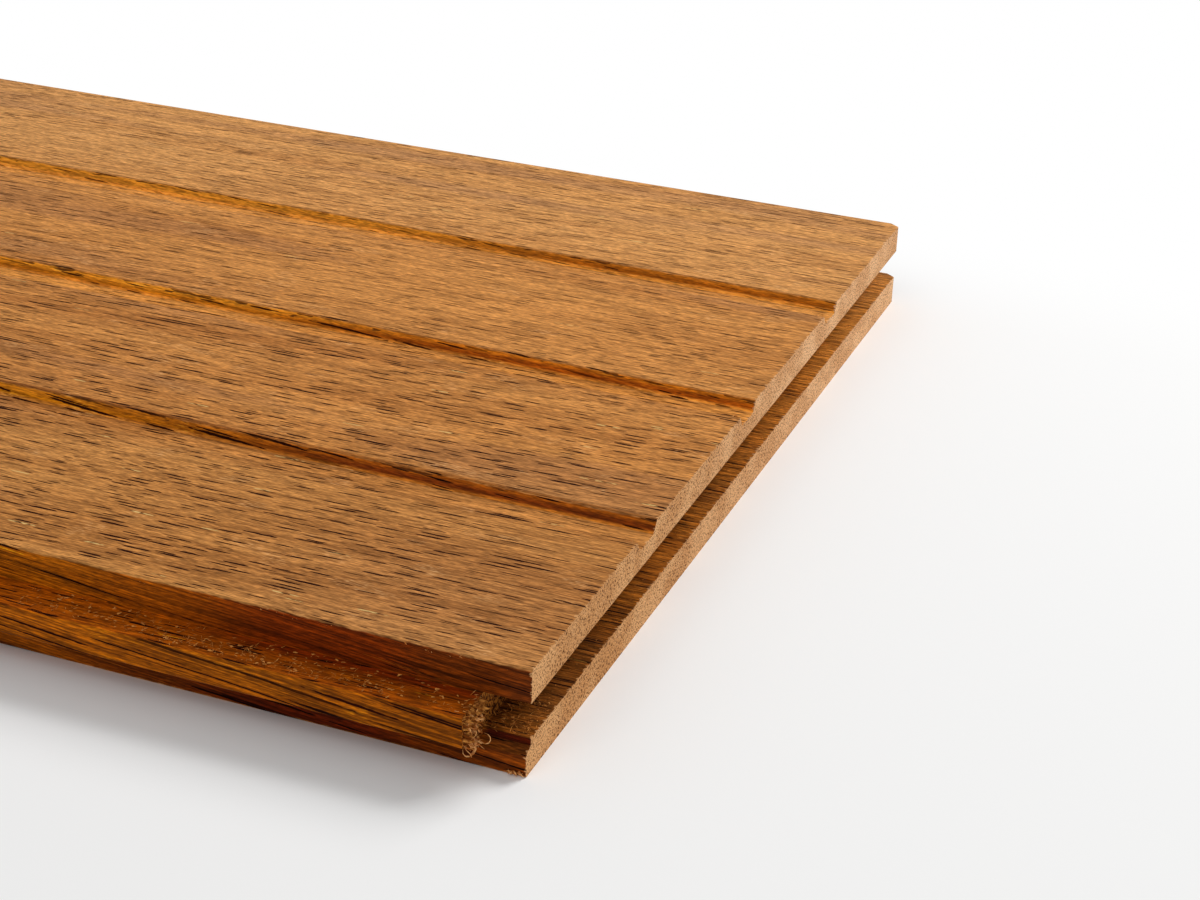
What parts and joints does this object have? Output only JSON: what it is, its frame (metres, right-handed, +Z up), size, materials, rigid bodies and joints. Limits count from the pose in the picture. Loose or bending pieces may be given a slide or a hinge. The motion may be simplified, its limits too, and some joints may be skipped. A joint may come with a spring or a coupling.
{
  "type": "hardwood floorboard",
  "caption": "Solid hardwood floorboard with matched tongues and grooves on its long edges and ends, a plain wear face and relief grooves in its back.",
  "frame": {"origin": "under the middle of the board's outline, tongues included, on the wear face that it lies on", "axes": "+X along the grain towards the grooved end, +Y across the board towards the grooved long edge, +Z up from the wear face to the relieved back"},
  "size_m": [0.9062, 0.1794, 0.015],
  "materials": {
    "hardwood": "bare planed and moulded, with open pores"
  },
  "bodies": {
    "root": {"floorboard": "hardwood"}
  },
  "joints": []
}
